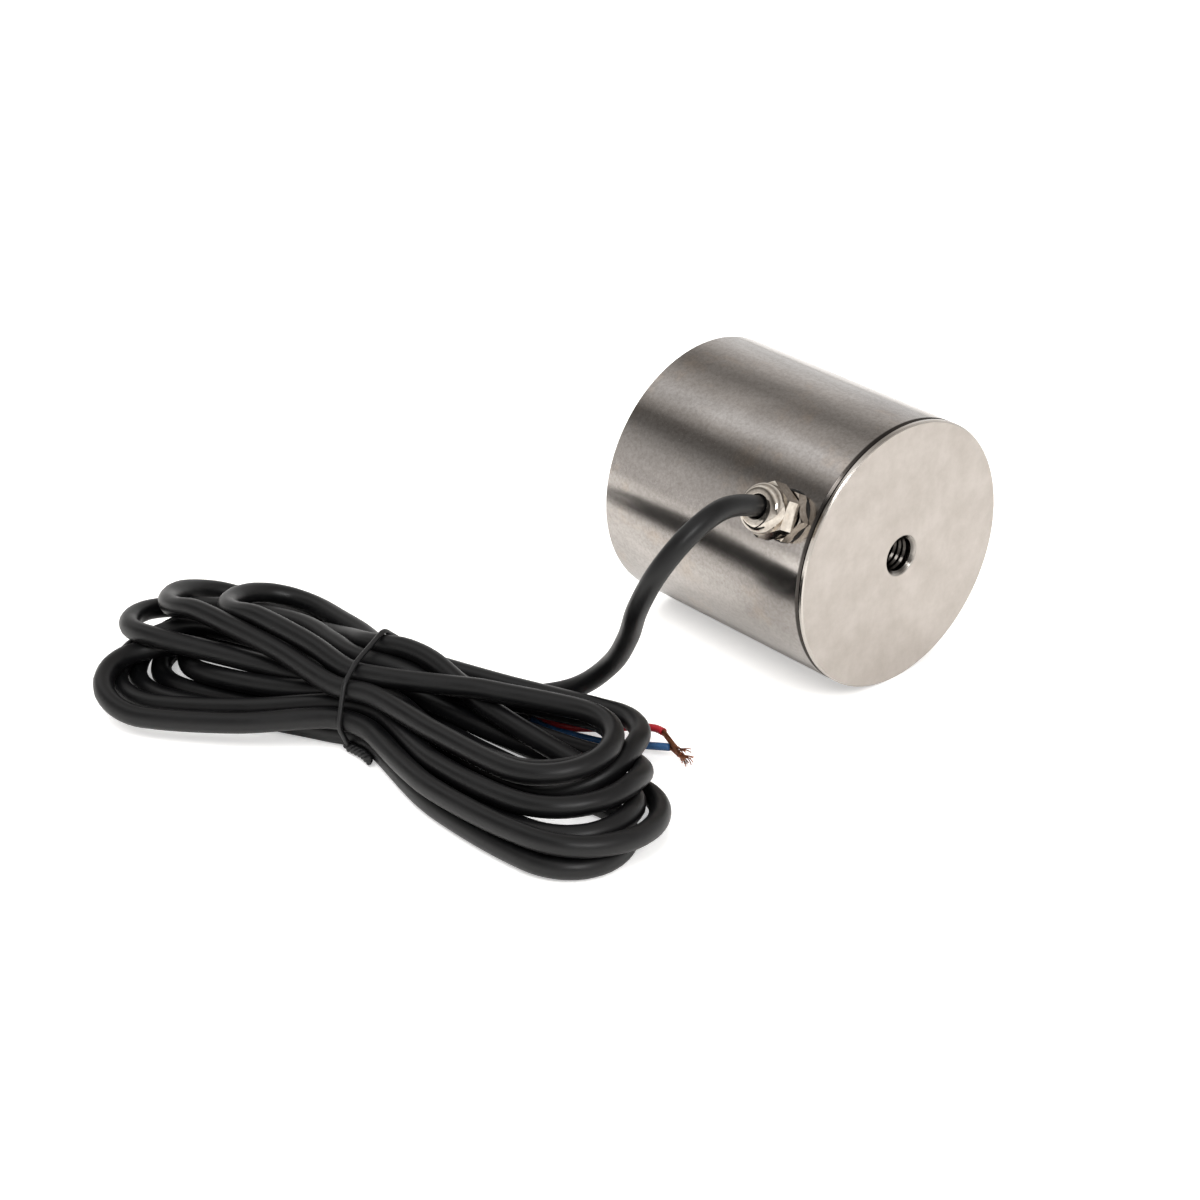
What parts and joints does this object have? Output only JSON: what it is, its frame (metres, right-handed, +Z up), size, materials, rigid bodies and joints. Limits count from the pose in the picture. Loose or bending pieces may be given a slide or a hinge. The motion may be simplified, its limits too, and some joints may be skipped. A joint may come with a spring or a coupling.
{
  "type": "holding electromagnet",
  "caption": "Round potted holding electromagnet with a steel pot body, a tapped back plate, a side cable gland and a tied hank of two-core cable.",
  "frame": {"origin": "centre of the back plate's outer face, where the axis of the mounting thread meets it", "axes": "+X out of the back plate along the magnet's axis, +Z up as it lies on its side, the gland towards -Y"},
  "size_m": [0.1914, 0.2252, 0.08],
  "materials": {
    "plated_steel": "polished nickel plating over turned steel",
    "satin_steel": "fine ground, nickel plated",
    "former_nylon": "moulded nylon",
    "copper": "drawn copper",
    "wrap_film": "polyester film tape",
    "black_resin": "cast epoxy resin",
    "black_rubber": "moulded rubber",
    "plated_brass": "polished nickel plating over turned brass",
    "red_pvc": "extruded PVC insulation",
    "blue_pvc": "extruded PVC insulation",
    "sleeve_plastic": "shrunk sleeve",
    "black_pvc": "extruded soft PVC sheath",
    "tie_plastic": "plastic-covered wire tie"
  },
  "bodies": {
    "root": {"housing_tube": "plated_steel", "back_plate": "satin_steel", "pole_core": "satin_steel", "coil_former": "former_nylon", "coil_winding": "copper", "coil_wrap": "wrap_film", "potting_resin": "black_resin", "gland_gasket": "black_rubber", "gland_body": "plated_brass", "gland_claw": "former_nylon", "gland_seal": "black_rubber", "gland_nut": "plated_brass", "red_lead_wire": "red_pvc", "blue_lead_wire": "blue_pvc", "red_splice": "sleeve_plastic", "blue_splice": "sleeve_plastic", "cable_lead": "black_pvc", "cable_hank": "black_pvc", "cable_tie": "tie_plastic", "red_core": "red_pvc", "blue_core": "blue_pvc", "red_copper": "copper", "blue_copper": "copper"}
  },
  "joints": []
}
